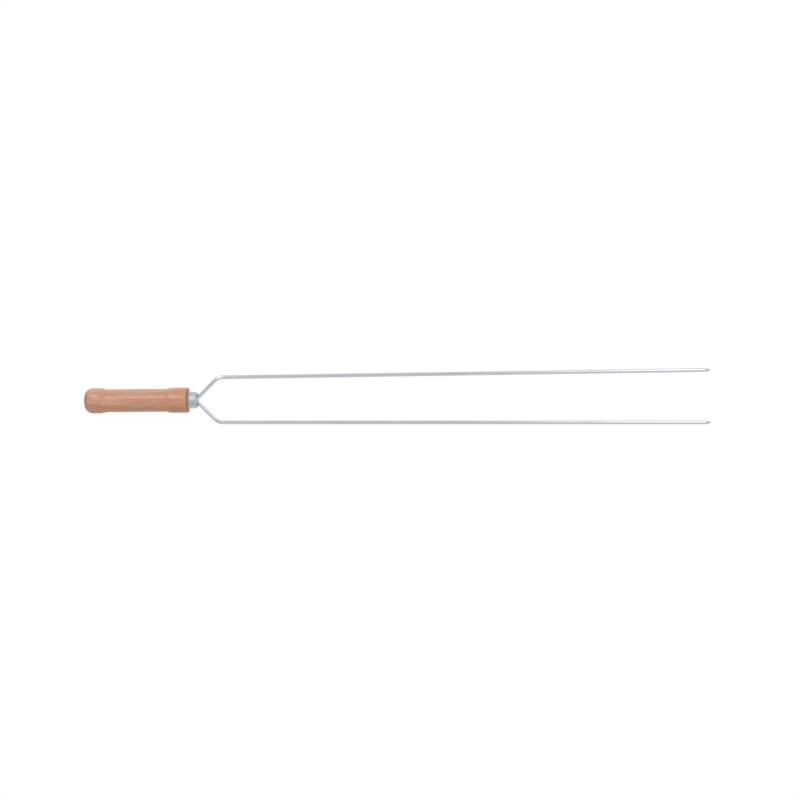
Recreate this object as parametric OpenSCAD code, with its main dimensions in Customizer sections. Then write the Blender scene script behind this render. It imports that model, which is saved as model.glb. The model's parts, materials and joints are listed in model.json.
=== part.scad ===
// Two-prong roasting fork with a turned wooden handle.
//
// The fork lies flat on the ground plane. X runs from the butt of the handle
// to the prong tips, Y crosses the prongs and Z is up. The origin is the
// centre of the bounding box's bottom face, right under the fork's axis.
// Stations along the fork are measured from the butt of the handle.

/* [Overall] */
// Length from the butt of the handle to the prong tips
overall_length = 750; // [600:10:1000]

/* [Handle] */
// Length of the handle from its butt to the shoulder behind the ferrule
handle_length = 125.6; // [105:0.2:160]
// Diameter of the swells at both ends of the grip
swell_d = 30.4; // [28:0.2:38]
// How far the grip's surface is turned below the swells
grip_drop = 1.4; // [0.4:0.1:4]
// Rounding of the butt's edge
butt_round = 9; // [6:0.5:11]
// Radius of the shallow dome on the butt's end
butt_dome = 40; // [30:1:80]
// Length of the butt swell's level crest, ahead of its rounded end
butt_crest = 7; // [3:0.5:12]
// Radius of the curve from the butt swell down to the grip
butt_fall = 39; // [20:1:60]
// Radius of the curve from the grip up to the front swell
front_rise = 25; // [15:1:40]
// Length of the front swell's level crest, behind its chamfer
front_crest = 17; // [10:0.5:22]
// Chamfer on the front edge of the handle
front_chamfer = 2.6; // [1:0.1:3]

/* [Ferrule] */
// Distance from the ends of the ferrule's slot out to the ferrule's side
ferrule_edge = 3.86; // [2.7:0.02:5]
// Length of the ferrule ahead of the handle's shoulder
ferrule_length = 9.2; // [8:0.2:14]
// Wall of the ferrule's skirt and face
ferrule_wall = 0.9; // [0.8:0.05:1.1]
// Outer rounding between the skirt and the face
ferrule_round = 2.2; // [1.5:0.1:3]

/* [Prongs] */
// Diameter of the prong wire
wire_d = 4.8; // [3.8:0.1:6]
// Distance between the prongs' centrelines at the end of the neck
neck_spread = 54; // [40:1:80]
// Angle of the neck's slanting legs from the fork's axis
neck_angle = 45; // [35:0.5:52]
// Angle by which each prong spreads from the fork's axis
splay_angle = 0.43; // [0:0.01:1]
// Centreline radius of the bends at the ferrule
root_bend = 6; // [5:0.5:8]
// Centreline radius of the bends at the end of the neck
neck_bend = 13.5; // [8:0.5:18]
// Depth of the root bends' corners behind the ferrule's face
root_setback = 0; // [0:0.1:2]
// Length of the ground point on each prong
point_length = 7; // [4:0.5:12]
// Diameter of the blunt end of each point
point_end_d = 0.6; // [0.3:0.1:1]

/* [Tangs] */
// Depth of the tangs in the handle, behind its shoulder
tang_depth = 68; // [50:1:88]
// Chamfer on the inner end of each tang
tang_chamfer = 0.6; // [0.3:0.1:1]
// Length of each weld bead between the tangs
weld_length = 8; // [5:0.5:10]
// Distance of the welds from the ends of the part of the tangs inside the grip
weld_inset = 12; // [8:1:12]

/* [Fits] */
// Free depth of the bore behind the tangs
bore_relief = 2; // [1:0.5:5]
// Gap for adhesive between the tangs and the wall of the bore
bore_gap = 0.25; // [0.15:0.05:0.4]
// Gap between the wires and the edges of the ferrule's slot
slot_gap = 0.2; // [0.1:0.05:0.4]
// Gap left between pieces that are pressed, cast or welded together
seat_gap = 0.02; // [0.02:0.01:0.05]

/* [Hidden] */

$fn = 96;
arc_steps = 10;       // chords in each arc of a turned outline
cut_over = 1;         // how far a cutter runs past the faces that it opens
bend_swell = 0.01;    // bends are thicker than the runs by this much all round
bend_lap = 0.1;       // length by which a run reaches into a bend

swell_r = swell_d / 2;
grip_r = swell_r - grip_drop;
wire_r = wire_d / 2;

// The tangs lie side by side and almost touch.
tang_y = wire_r + bend_swell + seat_gap / 2;
bore_r = tang_y + wire_r + bore_gap;

// The slot clears both wires where they pass the outside of the ferrule's face.
slot_half = tang_y + root_setback * tan(neck_angle) + wire_r / cos(neck_angle) + slot_gap;
slot_half_height = wire_r + bend_swell + slot_gap;
ferrule_r = slot_half + ferrule_edge;
tenon_r = ferrule_r - ferrule_wall - seat_gap;

// Stations along the fork, from the butt of the handle.
face_x = handle_length + ferrule_length;           // outside of the ferrule's face
tenon_x = face_x - ferrule_wall - seat_gap;        // end of the handle's tenon
root_x = face_x - root_setback;                    // corner of the root bends
tang_x = handle_length - tang_depth;               // inner end of the tangs
bore_x = tang_x - bore_relief;                     // bottom of the bore
weld_front_x = handle_length - weld_inset - weld_length;
weld_back_x = tang_x + weld_inset;

// The neck's second corner and the lengths left between the ends of the bends.
rise_y = neck_spread / 2 - tang_y;
neck_x = root_x + rise_y / tan(neck_angle);
root_cut = root_bend * tan(neck_angle / 2);
neck_cut = neck_bend * tan((neck_angle - splay_angle) / 2);
bend_x = root_x - root_cut;                        // start of the root bends
leg_run = rise_y / sin(neck_angle) - root_cut - neck_cut;
tip_half = (point_end_d / 2) * sin(splay_angle);   // the blunt end leans by this much
prong_run = (overall_length - tip_half - neck_x) / cos(splay_angle) - neck_cut - point_length;

weld_r = wire_r * 0.6;
web_z = wire_r * 0.3; // the tangs are too close for weld or adhesive to come nearer

// An arc as a list of points [radius, station].
function arc(centre, radius, from, to, steps) =
    [for (i = [0:steps]) let (a = from + (to - from) * i / steps)
        centre + radius * [cos(a), sin(a)]];

// An arc that leaves its crest and falls by `drop` turns by this angle.
function turn(drop, radius) = acos(1 - drop / radius);

// The dome and the edge rounding touch where the dome leans by dome_lean.
dome_lean = asin((swell_r - butt_round) / (butt_dome - butt_round));
round_x = butt_dome - (butt_dome - butt_round) * cos(dome_lean);
butt_crest_x = round_x + butt_crest;
front_crest_x = handle_length - front_chamfer - front_crest;

// Everything is drawn along X from the butt, then moved to the fork's frame.
module placed() {
    translate([-overall_length / 2, 0, swell_r]) children();
}

// Turns an outline of [radius, station] points around the fork's axis.
module turned() {
    rotate([0, 90, 0]) rotate_extrude() children();
}

// A round bar along X.
module bar(radius, from, to) {
    translate([from, 0, 0]) rotate([0, 90, 0]) cylinder(r = radius, h = to - from);
}

// A slot with round ends that lies across the fork and is cut along X.
module slot(from, to) {
    end_y = slot_half - slot_half_height;
    for (y = [-end_y, end_y]) translate([0, y, 0]) bar(slot_half_height, from, to);
    translate([from, -end_y, -slot_half_height])
        cube([to - from, 2 * end_y, 2 * slot_half_height]);
}

module handle_outline() {
    polygon(concat(
        arc([0, butt_dome], butt_dome, -90, dome_lean - 90, arc_steps),
        arc([swell_r - butt_round, round_x], butt_round, dome_lean - 90, 0, 2 * arc_steps),
        arc([swell_r - butt_fall, butt_crest_x], butt_fall,
            0, turn(grip_drop, butt_fall), arc_steps),
        arc([swell_r - front_rise, front_crest_x], front_rise,
            -turn(grip_drop, front_rise), 0, arc_steps),
        [[swell_r, handle_length - front_chamfer],
         [swell_r - front_chamfer, handle_length],
         [tenon_r, handle_length],
         [tenon_r, tenon_x - ferrule_round],
         [tenon_r - ferrule_round, tenon_x],
         [0, tenon_x]]
    ));
}

// Turned hardwood handle with a tenon for the ferrule and a bore for the tangs.
module handle() {
    color("peru") placed() difference() {
        turned() handle_outline();
        bar(bore_r, bore_x, tenon_x + cut_over);
        slot(bend_x - slot_gap, tenon_x + cut_over);
    }
}

// Drawn metal cup that sits on the tenon, against the shoulder.
module ferrule() {
    inner_r = ferrule_r - ferrule_wall;
    inner_round = ferrule_round - ferrule_wall;
    mouth_x = handle_length + seat_gap;
    color("silver") placed() difference() {
        turned() polygon(concat(
            [[inner_r, mouth_x], [ferrule_r, mouth_x]],
            arc([ferrule_r - ferrule_round, face_x - ferrule_round],
                ferrule_round, 0, 90, arc_steps),
            [[0, face_x], [0, face_x - ferrule_wall]],
            arc([inner_r - inner_round, face_x - ferrule_wall - inner_round],
                inner_round, 90, 0, arc_steps)
        ));
        slot(tenon_x - cut_over, face_x + cut_over);
    }
}

// A straight run of wire along X. Its children start where it ends.
module run(length, lap_in, lap_out) {
    bar(wire_r, -lap_in, length + lap_out);
    translate([length, 0, 0]) children();
}

// A bend in the wire, to the left if its angle is positive. Its children start
// where it ends.
module bend(radius, angle) {
    side = sign(angle);
    translate([0, side * radius, 0]) {
        rotate([0, 0, side > 0 ? -90 : 90 + angle])
            rotate_extrude(angle = abs(angle))
                translate([radius, 0]) circle(r = wire_r + bend_swell);
        rotate([0, 0, angle]) translate([0, -side * radius, 0]) children();
    }
}

// One wire on the left (+Y) of the axis, from its chamfered tang to its point.
module wire() {
    translate([tang_x, tang_y, 0]) {
        rotate([0, 90, 0])
            cylinder(r1 = wire_r - tang_chamfer, r2 = wire_r, h = tang_chamfer);
        translate([tang_chamfer, 0, 0])
            run(bend_x - tang_x - tang_chamfer, 0, bend_lap)
            bend(root_bend, neck_angle)
            run(leg_run, bend_lap, bend_lap)
            bend(neck_bend, splay_angle - neck_angle)
            run(prong_run, bend_lap, 0)
            rotate([0, 90, 0])
                cylinder(r1 = wire_r, r2 = point_end_d / 2, h = point_length);
    }
}

module prong_left() {
    color("lightgray") placed() wire();
}

module prong_right() {
    color("lightgray") placed() mirror([0, 1, 0]) wire();
}

// The rod from which a weld bead is cut: it lies in the groove between the
// tangs, above them (side 1) or below them (side -1), and ends level with them.
module weld_rod(from, side, extra) {
    translate([0, 0, side * (wire_r - weld_r)])
        bar(weld_r + extra, from - extra, from + weld_length + extra);
}

// The strip between the tangs that stays empty.
module tang_web(from, to, half_width) {
    translate([from, -half_width, -web_z]) cube([to - from, 2 * half_width, 2 * web_z]);
}

// A weld bead that fills the groove between the tangs.
module weld(from, side) {
    color("gray") placed() difference() {
        weld_rod(from, side, 0);
        for (y = [-tang_y, tang_y])
            translate([0, y, 0])
                bar(wire_r + seat_gap, from - cut_over, from + weld_length + cut_over);
        tang_web(from - cut_over, from + weld_length + cut_over, wire_r);
    }
}

module weld_front_top() { weld(weld_front_x, 1); }

module weld_front_bottom() { weld(weld_front_x, -1); }

module weld_back_top() { weld(weld_back_x, 1); }

module weld_back_bottom() { weld(weld_back_x, -1); }

// Hardened adhesive around the tangs, from the bottom of the bore to the bends.
module adhesive_fill() {
    color("goldenrod") placed() difference() {
        bar(bore_r - seat_gap, bore_x + seat_gap, bend_x - slot_gap);
        for (y = [-tang_y, tang_y]) translate([0, y, 0]) {
            translate([tang_x - seat_gap, 0, 0]) rotate([0, 90, 0])
                cylinder(r1 = wire_r - tang_chamfer + seat_gap, r2 = wire_r + seat_gap,
                         h = tang_chamfer);
            bar(wire_r + seat_gap, tang_x + tang_chamfer - seat_gap, face_x);
        }
        tang_web(tang_x - seat_gap, face_x, web_z);
        for (x = [weld_back_x, weld_front_x], side = [-1, 1])
            weld_rod(x, side, seat_gap);
    }
}

handle();
ferrule();
prong_left();
prong_right();
weld_front_top();
weld_front_bottom();
weld_back_top();
weld_back_bottom();
adhesive_fill();
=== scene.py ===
"""Looks of a two-prong roasting fork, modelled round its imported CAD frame.

The fork lies along X, from the butt of its handle to its tips, with its prongs
side by side across Y. Stations are measured along X from the butt.
"""

import json
import math
from collections import namedtuple

import bpy
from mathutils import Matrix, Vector


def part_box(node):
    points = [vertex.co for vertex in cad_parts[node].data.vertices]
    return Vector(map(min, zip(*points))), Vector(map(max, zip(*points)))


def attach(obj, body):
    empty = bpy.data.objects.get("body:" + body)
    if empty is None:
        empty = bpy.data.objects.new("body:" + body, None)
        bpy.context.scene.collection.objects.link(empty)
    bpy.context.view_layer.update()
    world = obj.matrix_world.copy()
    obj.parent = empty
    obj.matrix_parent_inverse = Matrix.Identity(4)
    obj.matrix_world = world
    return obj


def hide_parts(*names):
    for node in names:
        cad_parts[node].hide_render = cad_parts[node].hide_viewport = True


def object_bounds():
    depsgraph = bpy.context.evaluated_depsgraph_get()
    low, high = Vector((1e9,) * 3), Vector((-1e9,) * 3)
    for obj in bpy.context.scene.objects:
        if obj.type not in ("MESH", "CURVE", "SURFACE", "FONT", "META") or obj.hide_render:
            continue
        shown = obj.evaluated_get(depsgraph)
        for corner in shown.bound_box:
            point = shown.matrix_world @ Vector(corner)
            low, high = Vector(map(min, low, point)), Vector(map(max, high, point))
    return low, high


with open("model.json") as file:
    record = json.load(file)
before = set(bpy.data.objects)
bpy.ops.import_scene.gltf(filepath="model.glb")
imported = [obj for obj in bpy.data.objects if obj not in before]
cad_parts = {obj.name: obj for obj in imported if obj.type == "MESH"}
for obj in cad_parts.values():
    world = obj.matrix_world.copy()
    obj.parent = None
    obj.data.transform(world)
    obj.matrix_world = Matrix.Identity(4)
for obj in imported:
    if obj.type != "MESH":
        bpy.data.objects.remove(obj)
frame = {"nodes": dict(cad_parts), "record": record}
CAD_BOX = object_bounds()

bl_info = {
    "name": "Roasting Fork",
    "version": (1, 0, 0),
    "blender": (4, 5, 0),
    "location": "3D View > Sidebar > Roasting Fork",
    "description": "Models a roasting fork with wire prongs and a turned wooden handle",
    "category": "Add Mesh",
}

MM = 0.001
QUARTER = math.pi / 2

# What the frame settles: where each piece starts and ends, and how thick it is.
HANDLE_LOW, HANDLE_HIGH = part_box("handle")
FERRULE_LOW, FERRULE_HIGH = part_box("ferrule")
WIRE_LOW, WIRE_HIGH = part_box("prong_left")
FILL_LOW, FILL_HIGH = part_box("adhesive_fill")
BUTT_X = HANDLE_LOW.x
AXIS_Z = (HANDLE_LOW.z + HANDLE_HIGH.z) / 2
SWELL_R = (HANDLE_HIGH.z - HANDLE_LOW.z) / 2
FERRULE_R = (FERRULE_HIGH.z - FERRULE_LOW.z) / 2
PRONG_MOUNT = next(m for m in frame["record"]["mounts"] if m["name"] == "left_prong")
WIRE_R = PRONG_MOUNT["dims"]["r_mm"] * MM
# The wire swells by a hair in its bends, and that sets how far apart the tangs lie.
BENT_WIRE_R = (WIRE_HIGH.z - WIRE_LOW.z) / 2
TANG_Y = WIRE_LOW.y + BENT_WIRE_R

# Closer together than these, two corners are one corner, or a corner is in its place.
MERGE = 0.001 * MM
NEAR = 0.01 * MM
# How far a cut runs past what it cuts.
CUT_OVER = 1 * MM

# How finely round things are made: turned pieces, wires, their bends and broken edges.
TURN_STEPS = 144
WIRE_SIDES = 48
BEND_STEPS = 14
EDGE_STEPS = 3

# How far the neck may end from the prong's straight, how far the wire may leave its path,
# and how far past the wire's last full section the grinding starts.
PATH_MISS = 0.2 * MM
WIRE_MISS = 0.05 * MM
GROUND_GAP = 0.1 * MM

# What the tools leave behind: broken edges, the ferrule's lip and the punched slot's edge.
WOOD_EDGE = 0.4 * MM
FERRULE_LIP = 0.12 * MM
SLOT_EDGE = 0.18 * MM
# The ground point, as (share of its length, share of the wire's radius): a cone with its
# shoulder and its end just broken.
POINT_SHAPE = ((0.05, 0.975), (0.15, 0.885), (0.55, 0.50), (0.95, 0.155), (1.0, 0.085))

# A wave pattern of scale 1 repeats after this many metres.
WAVE_LENGTH = 0.314

# The stage: the floor, the camera that looks straight down on the fork, and the room's light.
FLOOR_SIZE = 8.0
FLOOR_GAP = 0.1 * MM
CAMERA_PLACE = (2.2 * MM, -1.75 * MM, AXIS_Z + 1400 * MM)
CAMERA_TURN = math.radians(-0.43)
CAMERA_LENS = 52.6
SENSOR_WIDTH = 36.0
ROOM_COLOUR = "#F4F6F8"
ROOM_LIGHT = 0.82


def linear(hex_colour):
    """Turns an sRGB hex colour into the linear values that shaders take."""
    channels = [int(hex_colour[i : i + 2], 16) / 255 for i in (1, 3, 5)]
    return tuple(c / 12.92 if c <= 0.04045 else ((c + 0.055) / 1.055) ** 2.4 for c in channels)


def length(name, description, default, low, high):
    """A length of the fork in millimetres, and the range in which it can be set."""
    return bpy.props.FloatProperty(
        name=name, description=description, default=default * MM, min=low * MM,
        max=high * MM, unit="LENGTH", subtype="DISTANCE")


def finish_colour(name, description, hex_colour):
    """The colour of a finish, from its sRGB hex value."""
    return bpy.props.FloatVectorProperty(
        name=name, description=description, default=linear(hex_colour), min=0, max=1,
        size=3, subtype="COLOR")


class ForkSizes(bpy.types.PropertyGroup):
    """Sizes of the fork that its maker would change."""

    grip_drop: length(
        "Grip Drop", "How far the grip is turned below the swells",
        default=1.4, low=0.4, high=4)
    butt_round: length(
        "Butt Round", "Rounding of the butt's edge",
        default=9, low=6, high=11)
    butt_dome: length(
        "Butt Dome", "Radius of the shallow dome on the butt",
        default=40, low=30, high=80)
    butt_crest: length(
        "Butt Crest", "Length of the butt swell's level crest",
        default=7, low=3, high=12)
    butt_fall: length(
        "Butt Fall", "Radius of the curve from the butt swell to the grip",
        default=39, low=20, high=60)
    front_rise: length(
        "Front Rise", "Radius of the curve from the grip to the front swell",
        default=25, low=15, high=40)
    front_crest: length(
        "Front Crest", "Length of the front swell's level crest",
        default=17, low=10, high=22)
    front_chamfer: length(
        "Front Chamfer", "Chamfer on the front edge of the handle",
        default=2.6, low=1, high=3)
    grip_blend: length(
        "Grip Blend", "Radius that softens where the curves meet the grip",
        default=3, low=1, high=10)
    ferrule_wall: length(
        "Ferrule Wall", "Wall of the ferrule's skirt and face",
        default=0.9, low=0.8, high=1.1)
    ferrule_round: length(
        "Ferrule Round", "Outer rounding between the skirt and the face",
        default=2.2, low=1.5, high=3)
    seat_gap: length(
        "Seat Gap", "Gap between pieces that are pressed together",
        default=0.02, low=0.01, high=0.05)
    slot_gap: length(
        "Slot Gap", "Gap between the wires and the edges of the slot",
        default=0.2, low=0.1, high=0.4)
    root_setback: length(
        "Root Setback", "Depth of the root bends' corners behind the face",
        default=0, low=0, high=2)
    root_bend: length(
        "Root Bend", "Centreline radius of the bends at the ferrule",
        default=6, low=5, high=8)
    neck_bend: length(
        "Neck Bend", "Centreline radius of the bends at the neck's end",
        default=13.5, low=8, high=18)
    neck_angle: bpy.props.FloatProperty(
        name="Neck Angle", description="Angle of the neck's legs from the fork's axis",
        default=math.radians(45), min=math.radians(35), max=math.radians(52),
        unit="ROTATION", subtype="ANGLE")
    point_length: length(
        "Point Length", "Length of the ground point on each prong",
        default=7, low=4, high=12)
    tang_chamfer: length(
        "Tang Chamfer", "Chamfer on the inner end of each tang",
        default=0.6, low=0.3, high=1)
    weld_ripple: length(
        "Weld Ripple", "Distance between the ripples of a weld bead",
        default=0.9, low=0.3, high=2)


class ForkColours(bpy.types.PropertyGroup):
    """Colours of the fork's finishes and of the floor under it."""

    wood_mid: finish_colour("Wood", "The varnished wood's main colour", "#D2997A")
    wood_yellow: finish_colour("Yellow Wood", "Wood in the paler, yellower bands", "#D2A278")
    wood_pink: finish_colour("Pink Wood", "Wood in the pinker bands", "#D2856B")
    wood_fibre: finish_colour("Fibre", "The darker fibres along the grain", "#A06A4C")
    # Painted shade: a darker colour laid along the handle's right-hand (-Y) side, where the handle
    # turns away from the light.
    wood_painted_shade: finish_colour(
        "Painted Shade Side", "The side of the handle that lay nearest the tree's heart", "#AC6E4C")
    wood_end: finish_colour("End Grain", "End grain, which takes up more stain", "#7A5240")
    # Painted highlight: a nearly white colour laid on the shoulder face at the ferrule, in place
    # of a bright reflection.
    wood_painted_highlight: finish_colour("Painted Highlight", "Wood that was cut back after the stain", "#EADCD2")
    steel: finish_colour("Prong Steel", "Drawn stainless wire", "#D6D7DB")
    ferrule: finish_colour("Ferrule Metal", "Drawn aluminium of the ferrule", "#BFC7CC")
    weld: finish_colour("Weld Metal", "Weld beads as they cooled", "#8D8880")
    weld_heat: finish_colour("Weld Heat", "Straw-brown heat colours on the welds", "#7A6A58")
    adhesive: finish_colour("Adhesive", "Hardened epoxy in the bore", "#C9A86A")
    floor: finish_colour("Floor", "The pale floor under the fork", "#FAFAFA")


def sizes():
    """The fork's sizes, as set in the scene."""
    return bpy.context.scene.fork_sizes


def colours():
    """The fork's colours, as set in the scene."""
    return bpy.context.scene.fork_colours


# ---------------------------------------------------------------- modelling


def select_none():
    """Leaves edit mode and deselects everything, so that only new pieces are worked on."""
    if bpy.context.object is not None and bpy.context.object.mode != "OBJECT":
        bpy.ops.object.mode_set(mode="OBJECT")
    bpy.ops.object.select_all(action="DESELECT")


def select_only(piece):
    """Leaves edit mode and selects one piece, to be worked on next."""
    select_none()
    bpy.context.view_layer.objects.active = piece
    piece.select_set(True)


def pick_edges(test):
    """In edit mode, selects just the edges whose two ends pass a test."""
    piece = bpy.context.object
    bpy.ops.mesh.select_mode(type="EDGE")
    bpy.ops.mesh.select_all(action="DESELECT")
    bpy.ops.object.mode_set(mode="OBJECT")
    places = [vertex.co.copy() for vertex in piece.data.vertices]
    for edge in piece.data.edges:
        edge.select = bool(test(*(places[i] for i in edge.vertices)))
    chosen = any(edge.select for edge in piece.data.edges)
    bpy.ops.object.mode_set(mode="EDIT")
    if not chosen:
        raise RuntimeError("no edge was picked on " + piece.name)


def close_ends():
    """In edit mode, fills the open ends of a piece and turns its faces outwards."""
    bpy.ops.mesh.select_mode(type="EDGE")
    bpy.ops.mesh.select_all(action="DESELECT")
    bpy.ops.mesh.select_non_manifold(extend=False)
    bpy.ops.mesh.fill_holes(sides=0)
    bpy.ops.mesh.select_all(action="SELECT")
    bpy.ops.mesh.remove_doubles(threshold=MERGE)
    bpy.ops.mesh.normals_make_consistent(inside=False)


def selected_centre():
    """The middle of what is selected in edit mode."""
    piece = bpy.context.object
    bpy.ops.object.mode_set(mode="OBJECT")
    picked = [v.co for v in piece.data.vertices if v.select]
    bpy.ops.object.mode_set(mode="EDIT")
    return sum(picked, Vector()) / len(picked)


def start_outline(name, station, radius):
    """Starts an outline with one point, at a station and a radius above the axis."""
    select_none()
    bpy.ops.mesh.primitive_plane_add(size=MM, location=(BUTT_X + station, 0, AXIS_Z + radius))
    piece = bpy.context.object
    piece.name = piece.data.name = name
    bpy.ops.object.transform_apply(location=True, rotation=True, scale=True)
    bpy.ops.object.mode_set(mode="EDIT")
    bpy.ops.mesh.select_mode(type="VERT")
    bpy.ops.mesh.select_all(action="SELECT")
    bpy.ops.mesh.merge(type="CENTER")
    return piece


def turn_outline(name, outline):
    """Draws an outline of (station, radius) points and turns it about the fork's axis."""
    piece = start_outline(name, *outline[0])
    for (x0, r0), (x1, r1) in zip(outline, outline[1:], strict=False):
        bpy.ops.mesh.extrude_region_move(
            TRANSFORM_OT_translate={"value": (x1 - x0, 0, r1 - r0)})
    bpy.ops.mesh.select_all(action="SELECT")
    bpy.ops.mesh.spin(steps=TURN_STEPS, angle=math.tau, center=(0, 0, AXIS_Z), axis=(1, 0, 0))
    bpy.ops.mesh.select_all(action="SELECT")
    bpy.ops.mesh.remove_doubles(threshold=MERGE)
    bpy.ops.mesh.normals_make_consistent(inside=False)
    return piece


def arc(station, radius, bend, start, end, steps):
    """Points (station, radius) on an arc; its angles are measured from straight out, and
    a negative bend makes a hollow."""
    angles = [start + (end - start) * i / steps for i in range(steps + 1)]
    return [(station + bend * math.sin(a), radius + bend * math.cos(a)) for a in angles]


def round_rings(stations, width):
    """Rounds the edges that run round a turned piece at the given (station, radius)."""
    def on_ring(a, b):
        return any(all(abs(p.x - BUTT_X - x) < NEAR
                       and abs(math.hypot(p.y, p.z - AXIS_Z) - r) < NEAR for p in (a, b))
                   for x, r in stations)

    pick_edges(on_ring)
    bpy.ops.mesh.bevel(offset=width, offset_type="OFFSET", segments=EDGE_STEPS, affect="EDGES")


def cut_slot(piece, start, end):
    """Cuts the slot for both wires through a piece, from one X to another."""
    half, half_height = slot_size()
    select_none()
    bpy.ops.mesh.primitive_cube_add(size=1, location=((start + end) / 2, 0, AXIS_Z),
                                    scale=(end - start, 2 * half, 2 * half_height))
    cutter = bpy.context.object
    bpy.ops.object.transform_apply(location=True, rotation=True, scale=True)
    bpy.ops.object.mode_set(mode="EDIT")
    # The cutter's four long edges are rounded by a hair less than half its height, so that
    # the roundings of one end don't meet.
    pick_edges(lambda a, b: abs(a.x - b.x) > CUT_OVER)
    bpy.ops.mesh.bevel(offset=half_height * 0.999, segments=16, affect="EDGES")
    select_only(piece)
    bpy.ops.object.modifier_add(type="BOOLEAN")
    slot = piece.modifiers[-1]
    slot.object, slot.operation, slot.solver = cutter, "DIFFERENCE", "EXACT"
    bpy.ops.object.modifier_apply(modifier=slot.name)
    bpy.data.objects.remove(cutter)


def slot_size():
    """Half the slot's width and half its height, from the wires that pass through it."""
    s = sizes()
    half = (TANG_Y + s.root_setback * math.tan(s.neck_angle)
            + WIRE_R / math.cos(s.neck_angle) + s.slot_gap)
    return half, BENT_WIRE_R + s.slot_gap


def finish_piece(piece, nodes, smooth):
    """Smooths a piece's edges up to an angle, hangs the piece on the fork's one body and
    hides what it stands for."""
    select_only(piece)
    bpy.ops.object.shade_smooth_by_angle(angle=math.radians(smooth))
    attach(piece, "root")
    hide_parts(*nodes)


def dress(piece, material):
    """Gives a piece one material all over."""
    piece.data.materials.clear()
    piece.data.materials.append(material)


# ---------------------------------------------------------------- materials


def add(tree, kind, inputs=None, **settings):
    """Adds a node with its settings, and sets or links its inputs."""
    made = tree.nodes.new(kind)
    for key, value in settings.items():
        setattr(made, key, value)
    for key, value in (inputs or {}).items():
        if isinstance(value, bpy.types.NodeSocket):
            tree.links.new(value, made.inputs[key])
        else:
            made.inputs[key].default_value = value
    return made


def new_material(name):
    """A new material with nothing in its node tree."""
    material = bpy.data.materials.new(name)
    material.use_nodes = True
    material.node_tree.nodes.clear()
    return material, material.node_tree


def opaque(colour, share=1.0):
    """A colour with its alpha, or a darker one that is a share of it."""
    return (*(channel * share for channel in colour), 1.0)


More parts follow.
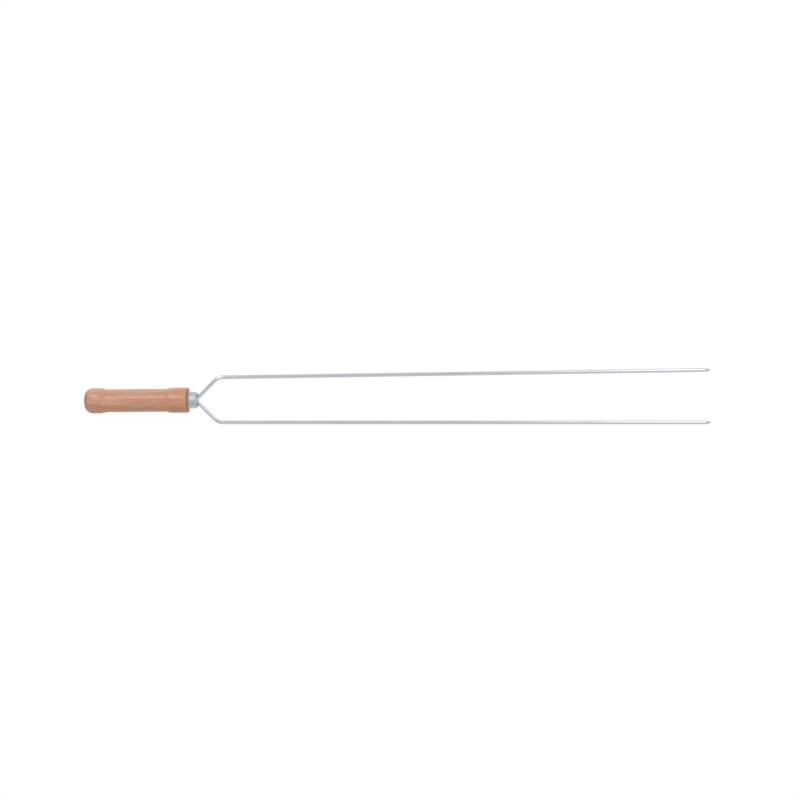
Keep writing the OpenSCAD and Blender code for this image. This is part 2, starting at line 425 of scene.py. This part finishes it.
def varnished_beech():
    """Steamed beech, turned and stained pink, under a satin varnish. The eye gets soft
    bands of pinker and yellower wood along the grain, fine darker fibres, short flecks,
    end grain that has taken up more stain, painted shade along the right-hand side and a
    nearly white painted highlight on the shoulder at the ferrule."""
    c = colours()
    material, tree = new_material("turned_beech_satin_varnish")
    place = add(tree, "ShaderNodeTexCoord").outputs["Object"]
    # The heart of the tree lies 60 mm to one side, and the grain is 1.5 degrees off the axis.
    log = add(tree, "ShaderNodeMapping", {
        "Vector": place, "Location": (0.30, 0.055, -0.022),
        "Rotation": (0.0, math.radians(1.1), math.radians(1.5))}).outputs[0]
    # Growth rings 2.6 mm apart.
    rings = add(tree, "ShaderNodeTexWave", {
        "Vector": log, "Scale": 120.0, "Distortion": 2.4, "Detail": 2.0,
        "Detail Scale": 0.6, "Detail Roughness": 0.55},
        wave_type="RINGS", rings_direction="X", wave_profile="SAW").outputs["Fac"]

    # What runs with the grain: its repeats in a metre along and across it, its detail and
    # its roughness.
    grain = {}
    for name, repeats, detail, roughness in (
            # Bands 9 mm across and 60 mm long, where the wood turns pinker or yellower.
            ("band", (16, 110, 110), 2.0, 0.5),
            # Streaks 2.5 mm across and 60 mm long.
            ("streak", (16, 400, 400), 2.0, 0.55),
            # Fibres 0.5 mm across and 25 mm long.
            ("fibre", (40, 2000, 2000), 3.0, 0.6),
            # Flecks of the rays, 0.25 mm across and 2 mm long.
            ("fleck", (420, 3600, 3600), 1.0, 0.5)):
        stretched = add(tree, "ShaderNodeMapping", {"Vector": log, "Scale": repeats}).outputs[0]
        grain[name] = add(tree, "ShaderNodeTexNoise", {
            "Vector": stretched, "Scale": 1.0, "Detail": detail,
            "Roughness": roughness}).outputs["Fac"]

    # Painted shade: the handle's right-hand (-Y) side is darkened as if it lay in shade, and the
    # edge of that darkening shifts by up to 6 mm with the bands.
    side = add(tree, "ShaderNodeSeparateXYZ", {"Vector": place}).outputs["Y"]
    painted_shade_edge = add(tree, "ShaderNodeMath", {0: grain["band"], 1: 6 * MM, 2: side},
                 operation="MULTIPLY_ADD").outputs[0]
    # End grain shows where the surface faces along the handle, to the front or to the back.
    forward = add(tree, "ShaderNodeSeparateXYZ", {
        "Vector": add(tree, "ShaderNodeNewGeometry").outputs["Normal"]}).outputs["X"]
    endwise = add(tree, "ShaderNodeMath", {0: forward}, operation="ABSOLUTE").outputs[0]

    # Each colour lies over those before it: its pattern, the values of the pattern where it
    # starts and where it is full, and its strength there.
    colour = opaque(c.wood_mid)
    for pattern, first, full, strength, tint in (
            (grain["band"], 0.50, 0.66, 0.85, c.wood_yellow),
            (grain["band"], 0.50, 0.38, 0.60, c.wood_pink),
            # Painted shade on the right-hand (-Y) side of the handle.
            (painted_shade_edge, -1 * MM, -11 * MM, 1.0, c.wood_painted_shade),
            (grain["streak"], 0.45, 0.75, 0.45, c.wood_fibre),
            (rings, 0.55, 1.0, 0.35, c.wood_fibre),
            (grain["fibre"], 0.50, 0.80, 0.60, c.wood_fibre),
            (grain["fleck"], 0.62, 0.74, 0.50, c.wood_fibre),
            (endwise, 0.30, 0.75, 0.85, c.wood_end),
            # Painted highlight: the forward-facing shoulder at the ferrule is painted nearly
            # white, in place of the bright reflection there.
            (forward, 0.90, 0.97, 1.0, c.wood_painted_highlight)):
        amount = add(tree, "ShaderNodeMapRange", {
            "Value": pattern, "From Min": first, "From Max": full,
            "To Max": strength}).outputs[0]
        colour = add(tree, "ShaderNodeMix", {0: amount, 6: colour, 7: opaque(tint)},
                     data_type="RGBA").outputs[2]

    # Tool rings 0.8 mm apart, left by the lathe and softened by the varnish.
    tool = add(tree, "ShaderNodeTexWave", {
        "Vector": place, "Scale": WAVE_LENGTH / (0.8 * MM), "Distortion": 1.5, "Detail": 1.0},
        wave_type="BANDS", bands_direction="X").outputs["Fac"]
    raised = add(tree, "ShaderNodeMath", {0: grain["fibre"], 1: 0.8},
                 operation="MULTIPLY").outputs[0]
    height = add(tree, "ShaderNodeMath", {0: tool, 1: 0.25, 2: raised},
                 operation="MULTIPLY_ADD").outputs[0]
    bump = add(tree, "ShaderNodeBump", {"Strength": 0.35, "Distance": 0.02 * MM,
                                        "Height": height}).outputs[0]
    rough = add(tree, "ShaderNodeMapRange", {
        "Value": grain["fibre"], "To Min": 0.40, "To Max": 0.54}).outputs[0]
    shader = add(tree, "ShaderNodeBsdfPrincipled", {
        "Base Color": colour, "Roughness": rough, "Normal": bump, "IOR": 1.5,
        "Coat Weight": 0.6, "Coat Roughness": 0.26, "Coat IOR": 1.5})
    add(tree, "ShaderNodeOutputMaterial", {"Surface": shader.outputs[0]})
    return material


def drawn_stainless():
    """Stainless wire, bright drawn through a die. The eye gets a grey gloss with hair-fine
    lines along the wire, and ground marks across its point."""
    c = colours()
    material, tree = new_material("stainless_wire_bright_drawn")
    straight = add(tree, "ShaderNodeAttribute", attribute_name="unbent").outputs["Vector"]
    # Die lines 0.12 mm across and 90 mm long, in the wire's own unbent space.
    thin = add(tree, "ShaderNodeMapping", {
        "Vector": straight, "Scale": (11, 8000, 8000)}).outputs[0]
    lines = add(tree, "ShaderNodeTexNoise", {
        "Vector": thin, "Scale": 1.0, "Detail": 2.0, "Roughness": 0.6}).outputs["Fac"]
    # Handling marks and thin oxide, in patches 4 mm across and 30 mm long.
    wide = add(tree, "ShaderNodeMapping", {
        "Vector": straight, "Scale": (33, 250, 250)}).outputs[0]
    patch = add(tree, "ShaderNodeTexNoise", {
        "Vector": wide, "Scale": 1.0, "Detail": 3.0, "Roughness": 0.55}).outputs["Fac"]
    # Grinding marks run across the point, 0.25 mm apart.
    ground = add(tree, "ShaderNodeAttribute", attribute_name="ground").outputs["Fac"]
    marks = add(tree, "ShaderNodeTexNoise", {
        "Vector": add(tree, "ShaderNodeMapping", {
            "Vector": straight, "Scale": (4000, 500, 500)}).outputs[0],
        "Scale": 1.0, "Detail": 2.0}).outputs["Fac"]

    dull = add(tree, "ShaderNodeMapRange", {
        "Value": patch, "From Min": 0.35, "From Max": 0.70, "To Max": 0.30}).outputs[0]
    colour = add(tree, "ShaderNodeMix", {
        0: dull, 6: opaque(c.steel), 7: opaque(c.steel, 0.80)},
        data_type="RGBA").outputs[2]
    colour = add(tree, "ShaderNodeMix", {
        0: add(tree, "ShaderNodeMath", {0: ground, 1: 0.5}, operation="MULTIPLY").outputs[0],
        6: colour, 7: opaque(c.steel, 0.62)}, data_type="RGBA").outputs[2]
    rough = add(tree, "ShaderNodeMapRange", {
        "Value": lines, "From Min": 0.3, "From Max": 0.7, "To Min": 0.11,
        "To Max": 0.14}).outputs[0]
    rough = add(tree, "ShaderNodeMath", {0: ground, 1: 0.10, 2: rough},
                operation="MULTIPLY_ADD").outputs[0]
    height = add(tree, "ShaderNodeMix", {0: ground, 2: lines, 3: marks}).outputs[0]
    bump = add(tree, "ShaderNodeBump", {"Strength": 0.03, "Distance": 0.01 * MM,
                                        "Height": height}).outputs[0]
    shader = add(tree, "ShaderNodeBsdfPrincipled", {
        "Base Color": colour, "Metallic": 1.0, "Roughness": rough, "Normal": bump})
    add(tree, "ShaderNodeOutputMaterial", {"Surface": shader.outputs[0]})
    return material


def drawn_aluminium():
    """Thin aluminium, deep drawn over a punch and tumbled smooth in a barrel. The eye gets
    a broad soft band of light with faint scuffs round the cup."""
    c = colours()
    material, tree = new_material("aluminium_deep_drawn_tumbled")
    place = add(tree, "ShaderNodeTexCoord").outputs["Object"]
    # Scuffs round the cup, 0.15 mm wide: noise squeezed along X and stretched across it.
    hoop = add(tree, "ShaderNodeMapping", {"Vector": place, "Scale": (6500, 90, 90)}).outputs[0]
    scuff = add(tree, "ShaderNodeTexNoise", {
        "Vector": hoop, "Scale": 1.0, "Detail": 2.0, "Roughness": 0.6}).outputs["Fac"]
    # Soft clouds from the barrel, 2 mm across.
    cloud = add(tree, "ShaderNodeTexNoise", {
        "Vector": place, "Scale": 500.0, "Detail": 3.0, "Roughness": 0.6}).outputs["Fac"]
    colour = add(tree, "ShaderNodeMix", {
        0: add(tree, "ShaderNodeMapRange", {
            "Value": cloud, "From Min": 0.4, "From Max": 0.7, "To Max": 0.4}).outputs[0],
        6: opaque(c.ferrule), 7: opaque(c.ferrule, 0.86)},
        data_type="RGBA").outputs[2]
    rough = add(tree, "ShaderNodeMapRange", {
        "Value": scuff, "From Min": 0.3, "From Max": 0.7, "To Min": 0.42,
        "To Max": 0.52}).outputs[0]
    bump = add(tree, "ShaderNodeBump", {"Strength": 0.2, "Distance": 0.01 * MM,
                                        "Height": scuff}).outputs[0]
    shader = add(tree, "ShaderNodeBsdfPrincipled", {
        "Base Color": colour, "Metallic": 1.0, "Roughness": rough, "Normal": bump})
    add(tree, "ShaderNodeOutputMaterial", {"Surface": shader.outputs[0]})
    return material


def cooled_weld():
    """A steel weld bead as it cooled: ripples across it, dull, with straw and blue heat
    colours."""
    c = colours()
    material, tree = new_material("steel_weld_as_cooled")
    place = add(tree, "ShaderNodeTexCoord").outputs["Object"]
    ripple = add(tree, "ShaderNodeTexWave", {
        "Vector": place, "Scale": WAVE_LENGTH / sizes().weld_ripple, "Distortion": 2.0,
        "Detail": 1.0}, wave_type="BANDS", bands_direction="X").outputs["Fac"]
    heat = add(tree, "ShaderNodeTexNoise", {
        "Vector": place, "Scale": 350.0, "Detail": 2.0}).outputs["Fac"]
    colour = add(tree, "ShaderNodeMix", {
        0: add(tree, "ShaderNodeMapRange", {
            "Value": heat, "From Min": 0.4, "From Max": 0.65, "To Max": 0.6}).outputs[0],
        6: opaque(c.weld), 7: opaque(c.weld_heat)}, data_type="RGBA").outputs[2]
    bump = add(tree, "ShaderNodeBump", {"Strength": 0.6, "Distance": 0.1 * MM,
                                        "Height": ripple}).outputs[0]
    shader = add(tree, "ShaderNodeBsdfPrincipled", {
        "Base Color": colour, "Metallic": 1.0, "Roughness": 0.48, "Normal": bump})
    add(tree, "ShaderNodeOutputMaterial", {"Surface": shader.outputs[0]})
    return material


def cast_epoxy():
    """Two-part epoxy, poured in the bore and hardened: amber, glossy, a little cloudy."""
    c = colours()
    material, tree = new_material("epoxy_cast_amber")
    place = add(tree, "ShaderNodeTexCoord").outputs["Object"]
    cloud = add(tree, "ShaderNodeTexNoise", {
        "Vector": place, "Scale": 220.0, "Detail": 3.0}).outputs["Fac"]
    colour = add(tree, "ShaderNodeMix", {
        0: cloud, 6: opaque(c.adhesive), 7: opaque(c.adhesive, 0.72)},
        data_type="RGBA").outputs[2]
    rough = add(tree, "ShaderNodeMapRange", {
        "Value": cloud, "To Min": 0.18, "To Max": 0.32}).outputs[0]
    shader = add(tree, "ShaderNodeBsdfPrincipled", {
        "Base Color": colour, "Roughness": rough, "IOR": 1.55})
    add(tree, "ShaderNodeOutputMaterial", {"Surface": shader.outputs[0]})
    return material


def studio_floor():
    """White sweep, lit from within so that the fork leaves next to no shadow on it."""
    c = colours()
    material, tree = new_material("floor_white_sweep")
    place = add(tree, "ShaderNodeTexCoord").outputs["Object"]
    grain = add(tree, "ShaderNodeTexNoise", {"Vector": place, "Scale": 900.0}).outputs["Fac"]
    rough = add(tree, "ShaderNodeMapRange", {
        "Value": grain, "To Min": 0.75, "To Max": 0.85}).outputs[0]
    shader = add(tree, "ShaderNodeBsdfPrincipled", {
        "Base Color": opaque(c.floor, 0.06), "Roughness": rough,
        "Specular IOR Level": 0.0, "Emission Color": opaque(c.floor),
        "Emission Strength": 1.0})
    add(tree, "ShaderNodeOutputMaterial", {"Surface": shader.outputs[0]})
    return material


# ---------------------------------------------------------------- the pieces


def falling_curve(fall, drop, blend):
    """A crest that rolls down by a drop and runs out into the grip, seen from the crest:
    (distance, radius) points with a soft foot, as long as one arc of the whole radius."""
    turn = math.acos(1 - drop / fall)
    reach = math.sqrt(2 * fall * drop - drop * drop)
    roll = arc(0, SWELL_R - (fall - blend), fall - blend, 0, turn, 10)
    foot = arc(reach, SWELL_R - drop + blend, -blend, turn, 0, 4)
    return roll + foot[1:]


class FORK_OT_turn_handle(bpy.types.Operator):
    """Turn the wooden handle with its tenon and its bore"""

    bl_idname = "fork.turn_handle"
    bl_label = "Turn Handle"
    bl_options = {"REGISTER", "UNDO"}

    def execute(self, context):
        s = sizes()
        shoulder = FERRULE_LOW.x - s.seat_gap - BUTT_X
        tenon_end = HANDLE_HIGH.x - BUTT_X
        tenon_r = FERRULE_R - s.ferrule_wall - s.seat_gap
        bore_r = (FILL_HIGH.z - FILL_LOW.z) / 2 + s.seat_gap
        bore_end = FILL_LOW.x - s.seat_gap - BUTT_X
        bend_start = root_start() - s.slot_gap

        lean = math.asin((SWELL_R - s.butt_round) / (s.butt_dome - s.butt_round))
        round_x = s.butt_dome - (s.butt_dome - s.butt_round) * math.cos(lean)
        # Angles are measured from straight out, so the butt's pole is at -90 degrees.
        outline = arc(s.butt_dome, 0, s.butt_dome, -QUARTER, lean - QUARTER, 6)
        outline += arc(round_x, SWELL_R - s.butt_round, s.butt_round, lean - QUARTER, 0, 18)[1:]
        crest = round_x + s.butt_crest
        outline += [(crest + x, r) for x, r in
                    falling_curve(s.butt_fall, s.grip_drop, s.grip_blend)]
        chamfer_x = shoulder - s.front_chamfer
        crest = chamfer_x - s.front_crest
        outline += [(crest - x, r) for x, r in
                    reversed(falling_curve(s.front_rise, s.grip_drop, s.grip_blend))]
        outline += [(chamfer_x, SWELL_R), (shoulder, SWELL_R - s.front_chamfer),
                    (shoulder, tenon_r), (tenon_end - s.ferrule_round, tenon_r),
                    (tenon_end, tenon_r - s.ferrule_round), (tenon_end, bore_r),
                    (bore_end, bore_r), (bore_end, 0)]
        piece = turn_outline("handle_turned", outline)
        round_rings([(chamfer_x, SWELL_R), (shoulder, SWELL_R - s.front_chamfer)], WOOD_EDGE)
        bpy.ops.object.mode_set(mode="OBJECT")
        cut_slot(piece, BUTT_X + bend_start, HANDLE_HIGH.x + CUT_OVER)
        finish_piece(piece, ["handle"], 25.0)
        dress(piece, varnished_beech())
        return {"FINISHED"}


class FORK_OT_draw_ferrule(bpy.types.Operator):
    """Draw the metal ferrule and punch its slot"""

    bl_idname = "fork.draw_ferrule"
    bl_label = "Draw Ferrule"
    bl_options = {"REGISTER", "UNDO"}

    def execute(self, context):
        s = sizes()
        mouth = FERRULE_LOW.x - BUTT_X
        face = FERRULE_HIGH.x - BUTT_X
        # A ring part of the way along keeps the skirt's long faces in two shorter rows.
        skirt = mouth + 4 * MM
        inner_r = FERRULE_R - s.ferrule_wall
        inner_round = s.ferrule_round - s.ferrule_wall
        rim = 2 * FERRULE_LIP
        outline = arc(face - s.ferrule_wall - inner_round, inner_r - inner_round,
                      inner_round, QUARTER, 0, 8)
        outline += [(skirt, inner_r), (mouth + FERRULE_LIP, inner_r),
                    (mouth, inner_r + FERRULE_LIP), (mouth, FERRULE_R - rim)]
        outline += arc(mouth + rim, FERRULE_R - rim, rim, -QUARTER, 0, 4)[1:]
        outline += [(skirt, FERRULE_R)]
        outline += arc(face - s.ferrule_round, FERRULE_R - s.ferrule_round,
                       s.ferrule_round, 0, QUARTER, 12)
        piece = turn_outline("ferrule_drawn", outline)
        close_ends()
        bpy.ops.object.mode_set(mode="OBJECT")
        cut_slot(piece, HANDLE_HIGH.x - CUT_OVER, FERRULE_HIGH.x + CUT_OVER)
        # The punch draws the slot's edge in a little.
        bpy.ops.object.mode_set(mode="EDIT")
        half, half_height = slot_size()
        # The facets of the slot's round ends lie a little inside their true radius.
        facet_r = half_height * 0.97

        def slot_edge(a, b):
            return all(abs(p.x - FERRULE_HIGH.x) < MERGE
                       and abs(p.y) < half + NEAR
                       and abs(p.z - AXIS_Z) < half_height + NEAR
                       and math.hypot(max(0, abs(p.y) - (half - half_height)), p.z - AXIS_Z)
                       > facet_r for p in (a, b))

        pick_edges(slot_edge)
        bpy.ops.mesh.bevel(offset=SLOT_EDGE, segments=EDGE_STEPS, affect="EDGES")
        bpy.ops.object.mode_set(mode="OBJECT")
        finish_piece(piece, ["ferrule"], 35.0)
        dress(piece, drawn_aluminium())
        return {"FINISHED"}


def root_start():
    """Station where the wires leave their tangs and start to bend."""
    s = sizes()
    return (FERRULE_HIGH.x - BUTT_X - s.root_setback
            - s.root_bend * math.tan(s.neck_angle / 2))


# One stretch of the wire's centreline. A "run" is as long as its amount, and a "bend" turns
# by its amount on its radius, to the left where that is positive.
Stretch = namedtuple("Stretch", "kind amount radius start heading")


def toward(turn):
    """The level direction at an angle from the fork's axis."""
    return Vector((math.cos(turn), math.sin(turn), 0))


def left_of(heading):
    """The level direction to the left of a heading."""
    return Vector((-heading.y, heading.x, 0))


def wire_used(stretch):
    """The length of wire that a stretch takes."""
    return stretch.amount if stretch.kind == "run" else abs(stretch.amount) * stretch.radius


def bend_centre(stretch):
    """The point round which a bend turns."""
    side = math.copysign(1, stretch.amount)
    return stretch.start + side * stretch.radius * left_of(stretch.heading)


def wire_path():
    """The stretches of the left wire's centreline, from its tang to its ground point."""
    s = sizes()
    axis = Vector(PRONG_MOUNT["axis"])
    splay = math.atan2(axis.y, axis.x)
    straight = PRONG_MOUNT["dims"]["length_mm"] * MM
    prong_start = Vector(PRONG_MOUNT["pos_m"]) - axis * straight / 2
    # The leg takes up what is left between the two bends.
    rise = (prong_start.y - TANG_Y - s.root_bend * (1 - math.cos(s.neck_angle))
            - s.neck_bend * (math.cos(splay) - math.cos(s.neck_angle)))
    turn, place, path = 0.0, Vector((WIRE_LOW.x, TANG_Y, AXIS_Z)), []
    for kind, amount, radius in (("run", root_start() + BUTT_X - WIRE_LOW.x, 0.0),
                                 ("bend", s.neck_angle, s.root_bend),
                                 ("run", rise / math.sin(s.neck_angle), 0.0),
                                 ("bend", splay - s.neck_angle, s.neck_bend)):
        stretch = Stretch(kind, amount, radius, place, toward(turn))
        path.append(stretch)
        if kind == "run":
            place = place + stretch.heading * amount
        else:
            turn += amount
            side = math.copysign(1, amount)
            place = bend_centre(stretch) - side * radius * left_of(toward(turn))
    miss = (place - prong_start).length
    if miss > PATH_MISS:
        raise RuntimeError("the neck ends %.2f mm from the prong's straight" % (miss / MM))
    heading = toward(turn)
    amount = (WIRE_HIGH.x - place.x) / heading.x - s.point_length
    return [*path, Stretch("run", amount, 0.0, place, heading)]


def unbend(point, path):
    """Where a point of the wire would be with the wire straight: (along, across, up)."""
    done = 0.0
    for stretch in path:
        if stretch.kind == "run":
            offset = point - stretch.start
            here = offset.dot(stretch.heading)
            if here <= stretch.amount or stretch is path[-1]:
                return done + here, offset.dot(left_of(stretch.heading)), offset.z
        else:
            side, radius = math.copysign(1, stretch.amount), stretch.radius
            out = point - bend_centre(stretch)
            angle = math.atan2(out.dot(stretch.heading), -side * out.dot(left_of(stretch.heading)))
            if angle <= abs(stretch.amount):
                return (done + angle * radius, side * (radius - math.hypot(out.x, out.y)),
                        out.z)
        done += wire_used(stretch)
    raise RuntimeError("the wire has no end")


def grow_tang(start):
    """In edit mode, starts the left wire as a tang with a chamfered end; returns it."""
    s = sizes()
    select_none()
    bpy.ops.mesh.primitive_circle_add(
        vertices=WIRE_SIDES, radius=WIRE_R - s.tang_chamfer, fill_type="NOTHING",
        location=start, rotation=(0, QUARTER, 0))
    wire = bpy.context.object
    wire.name = wire.data.name = "prong_left_wire"
    bpy.ops.object.transform_apply(location=True, rotation=True, scale=True)
    bpy.ops.object.mode_set(mode="EDIT")
    bpy.ops.mesh.select_mode(type="EDGE")
    bpy.ops.mesh.select_all(action="SELECT")
    chamfer = Vector((s.tang_chamfer, 0, 0))
    bpy.ops.mesh.extrude_region_move(TRANSFORM_OT_translate={"value": chamfer})
    bpy.ops.transform.resize(value=(WIRE_R / (WIRE_R - s.tang_chamfer),) * 3,
                             center_override=start + chamfer)
    return wire


def draw_wire(path):
    """In edit mode, draws the wire's end along its path, past the tang's chamfer."""
    done = sizes().tang_chamfer
    for stretch, following in zip(path, [*path[1:], None], strict=True):
        if stretch.kind == "run":
            bpy.ops.mesh.extrude_region_move(
                TRANSFORM_OT_translate={"value": stretch.heading * (stretch.amount - done)})
        else:
            # With no window, a spin turns the other way.
            bpy.ops.mesh.spin(steps=BEND_STEPS, angle=-stretch.amount,
                              center=bend_centre(stretch), axis=(0, 0, 1))
        done = 0.0
        end = following.start if following else stretch.start + stretch.heading * stretch.amount
        if (selected_centre() - end).length > WIRE_MISS:
            raise RuntimeError("the wire left its path at a " + stretch.kind)
    return end


def grind_point(end, heading):
    """In edit mode, draws the wire's end out to its ground point."""
    last_share, last_size = 0.0, 1.0
    for share, size in POINT_SHAPE:
        step = heading * (share - last_share) * sizes().point_length
        bpy.ops.mesh.extrude_region_move(TRANSFORM_OT_translate={"value": step})
        end = end + step
        bpy.ops.transform.resize(value=(size / last_size,) * 3, center_override=end)
        last_share, last_size = share, size


def mark_wire(wire, path):
    """Gives the wire's steel its unbent place and the part of it that is ground."""
    point_start = sum(wire_used(stretch) for stretch in path)
    places = [unbend(vertex.co, path) for vertex in wire.data.vertices]
    wire.data.attributes.new("unbent", "FLOAT_VECTOR", "POINT")
    wire.data.attributes.new("ground", "FLOAT", "POINT")
    unbent, ground = (wire.data.attributes[name].data for name in ("unbent", "ground"))
    for i, place in enumerate(places):
        unbent[i].vector = place
        ground[i].value = float(place[0] > point_start + GROUND_GAP)


class FORK_OT_bend_prongs(bpy.types.Operator):
    """Bend the left wire from its tang to its ground point, and mirror it for the right"""

    bl_idname = "fork.bend_prongs"
    bl_label = "Bend Prongs"
    bl_options = {"REGISTER", "UNDO"}

    def execute(self, context):
        path = wire_path()
        wire = grow_tang(path[0].start)
        grind_point(draw_wire(path), path[-1].heading)
        close_ends()
        bpy.ops.object.mode_set(mode="OBJECT")
        mark_wire(wire, path)

        # The right wire is the left one's mirror image, with its own mesh.
        select_only(wire)
        bpy.ops.object.duplicate(linked=False)
        mirrored = bpy.context.object
        mirrored.name = mirrored.data.name = "prong_right_wire"
        bpy.ops.object.mode_set(mode="EDIT")
        bpy.ops.mesh.select_all(action="SELECT")
        bpy.ops.transform.resize(value=(1, -1, 1), center_override=(0, 0, 0))
        bpy.ops.mesh.normals_make_consistent(inside=False)
        bpy.ops.object.mode_set(mode="OBJECT")
        steel = drawn_stainless()
        for piece, node in ((wire, "prong_left"), (mirrored, "prong_right")):
            finish_piece(piece, [node], 30.0)
            dress(piece, steel)
        return {"FINISHED"}


class FORK_OT_finish_inner(bpy.types.Operator):
    """Give the welds and the adhesive inside the handle their finishes"""

    bl_idname = "fork.finish_inner"
    bl_label = "Finish Inner Pieces"
    bl_options = {"REGISTER", "UNDO"}

    def execute(self, context):
        weld, epoxy = cooled_weld(), cast_epoxy()
        for name, node in frame["nodes"].items():
            if name.startswith("weld_"):
                dress(node, weld)
            elif name == "adhesive_fill":
                dress(node, epoxy)
        return {"FINISHED"}


def hang_lamp(name, place, aim, width, height, radiance):
    """Hangs an oblong lamp, turned to its aim; its watts follow from its radiance and its
    size in metres."""
    bpy.ops.object.light_add(type="AREA", location=place)
    lamp = bpy.context.object
    lamp.name = lamp.data.name = name
    lamp.data.shape = "RECTANGLE"
    lamp.data.size, lamp.data.size_y = width, height
    lamp.data.energy = radiance * math.pi * width * height
    lamp.visible_camera = False
    lamp.rotation_euler = (Vector(aim) - Vector(place)).to_track_quat("-Z", "Y").to_euler()


class FORK_OT_light_stage(bpy.types.Operator):
    """Lay the pale floor, hang the soft lights and stand the camera over the fork"""

    bl_idname = "fork.light_stage"
    bl_label = "Light Stage"
    bl_options = {"REGISTER", "UNDO"}

    def execute(self, context):
        scene = context.scene
        scene.view_settings.view_transform = "Standard"
        select_none()
        bpy.ops.mesh.primitive_plane_add(
            size=FLOOR_SIZE, location=(0, 0, CAD_BOX[0].z - FLOOR_GAP))
        floor = bpy.context.object
        floor.name = floor.data.name = "floor"
        bpy.ops.object.transform_apply(location=True, rotation=True, scale=True)
        dress(floor, studio_floor())

        world = scene.world or bpy.data.worlds.new("studio")
        scene.world = world
        world.use_nodes = True
        world.node_tree.nodes.clear()
        sky = add(world.node_tree, "ShaderNodeBackground", {
            "Color": opaque(linear(ROOM_COLOUR)), "Strength": ROOM_LIGHT})
        add(world.node_tree, "ShaderNodeOutputWorld", {"Surface": sky.outputs[0]})

        hang_lamp("right_softbox", place=(1.03, 0.85, 1.3), aim=(0.0, 0.0, 0.0),
                  width=1.15, height=1.0, radiance=1.4)
        hang_lamp("left_strip", place=(-0.68, 0.78, 1.15), aim=(-0.36, 0.0, 0.0),
                  width=0.14, height=1.1, radiance=7.5)

        bpy.ops.object.camera_add(location=CAMERA_PLACE, rotation=(0, 0, CAMERA_TURN))
        camera = bpy.context.object
        camera.name = camera.data.name = "camera"
        camera.data.sensor_width = SENSOR_WIDTH
        camera.data.lens = CAMERA_LENS
        camera.data.clip_start = 0.01
        camera.data.dof.use_dof = False
        scene.camera = camera
        return {"FINISHED"}


STEPS = (FORK_OT_turn_handle, FORK_OT_draw_ferrule, FORK_OT_bend_prongs,
         FORK_OT_finish_inner, FORK_OT_light_stage)


class FORK_PT_panel(bpy.types.Panel):
    """Steps, sizes and colours of the roasting fork"""

    bl_label = "Roasting Fork"
    bl_idname = "FORK_PT_panel"
    bl_space_type = "VIEW_3D"
    bl_region_type = "UI"
    bl_category = "Roasting Fork"

    def draw(self, context):
        layout = self.layout
        for step in STEPS:
            layout.operator(step.bl_idname)
        for title, group in (("Sizes", context.scene.fork_sizes),
                             ("Colours", context.scene.fork_colours)):
            box = layout.box()
            box.label(text=title)
            for name in group.bl_rna.properties.keys():
                if name not in ("name", "rna_type"):
                    box.prop(group, name)


CLASSES = (ForkSizes, ForkColours, *STEPS, FORK_PT_panel)


def register():
    for cls in CLASSES:
        bpy.utils.register_class(cls)
    bpy.types.Scene.fork_sizes = bpy.props.PointerProperty(type=ForkSizes)
    bpy.types.Scene.fork_colours = bpy.props.PointerProperty(type=ForkColours)


def unregister():
    del bpy.types.Scene.fork_colours
    del bpy.types.Scene.fork_sizes
    for cls in reversed(CLASSES):
        bpy.utils.unregister_class(cls)


def main():
    register()
    bpy.ops.fork.turn_handle()
    bpy.ops.fork.draw_ferrule()
    bpy.ops.fork.bend_prongs()
    bpy.ops.fork.finish_inner()
    bpy.ops.fork.light_stage()


if __name__ == "__main__":
    main()
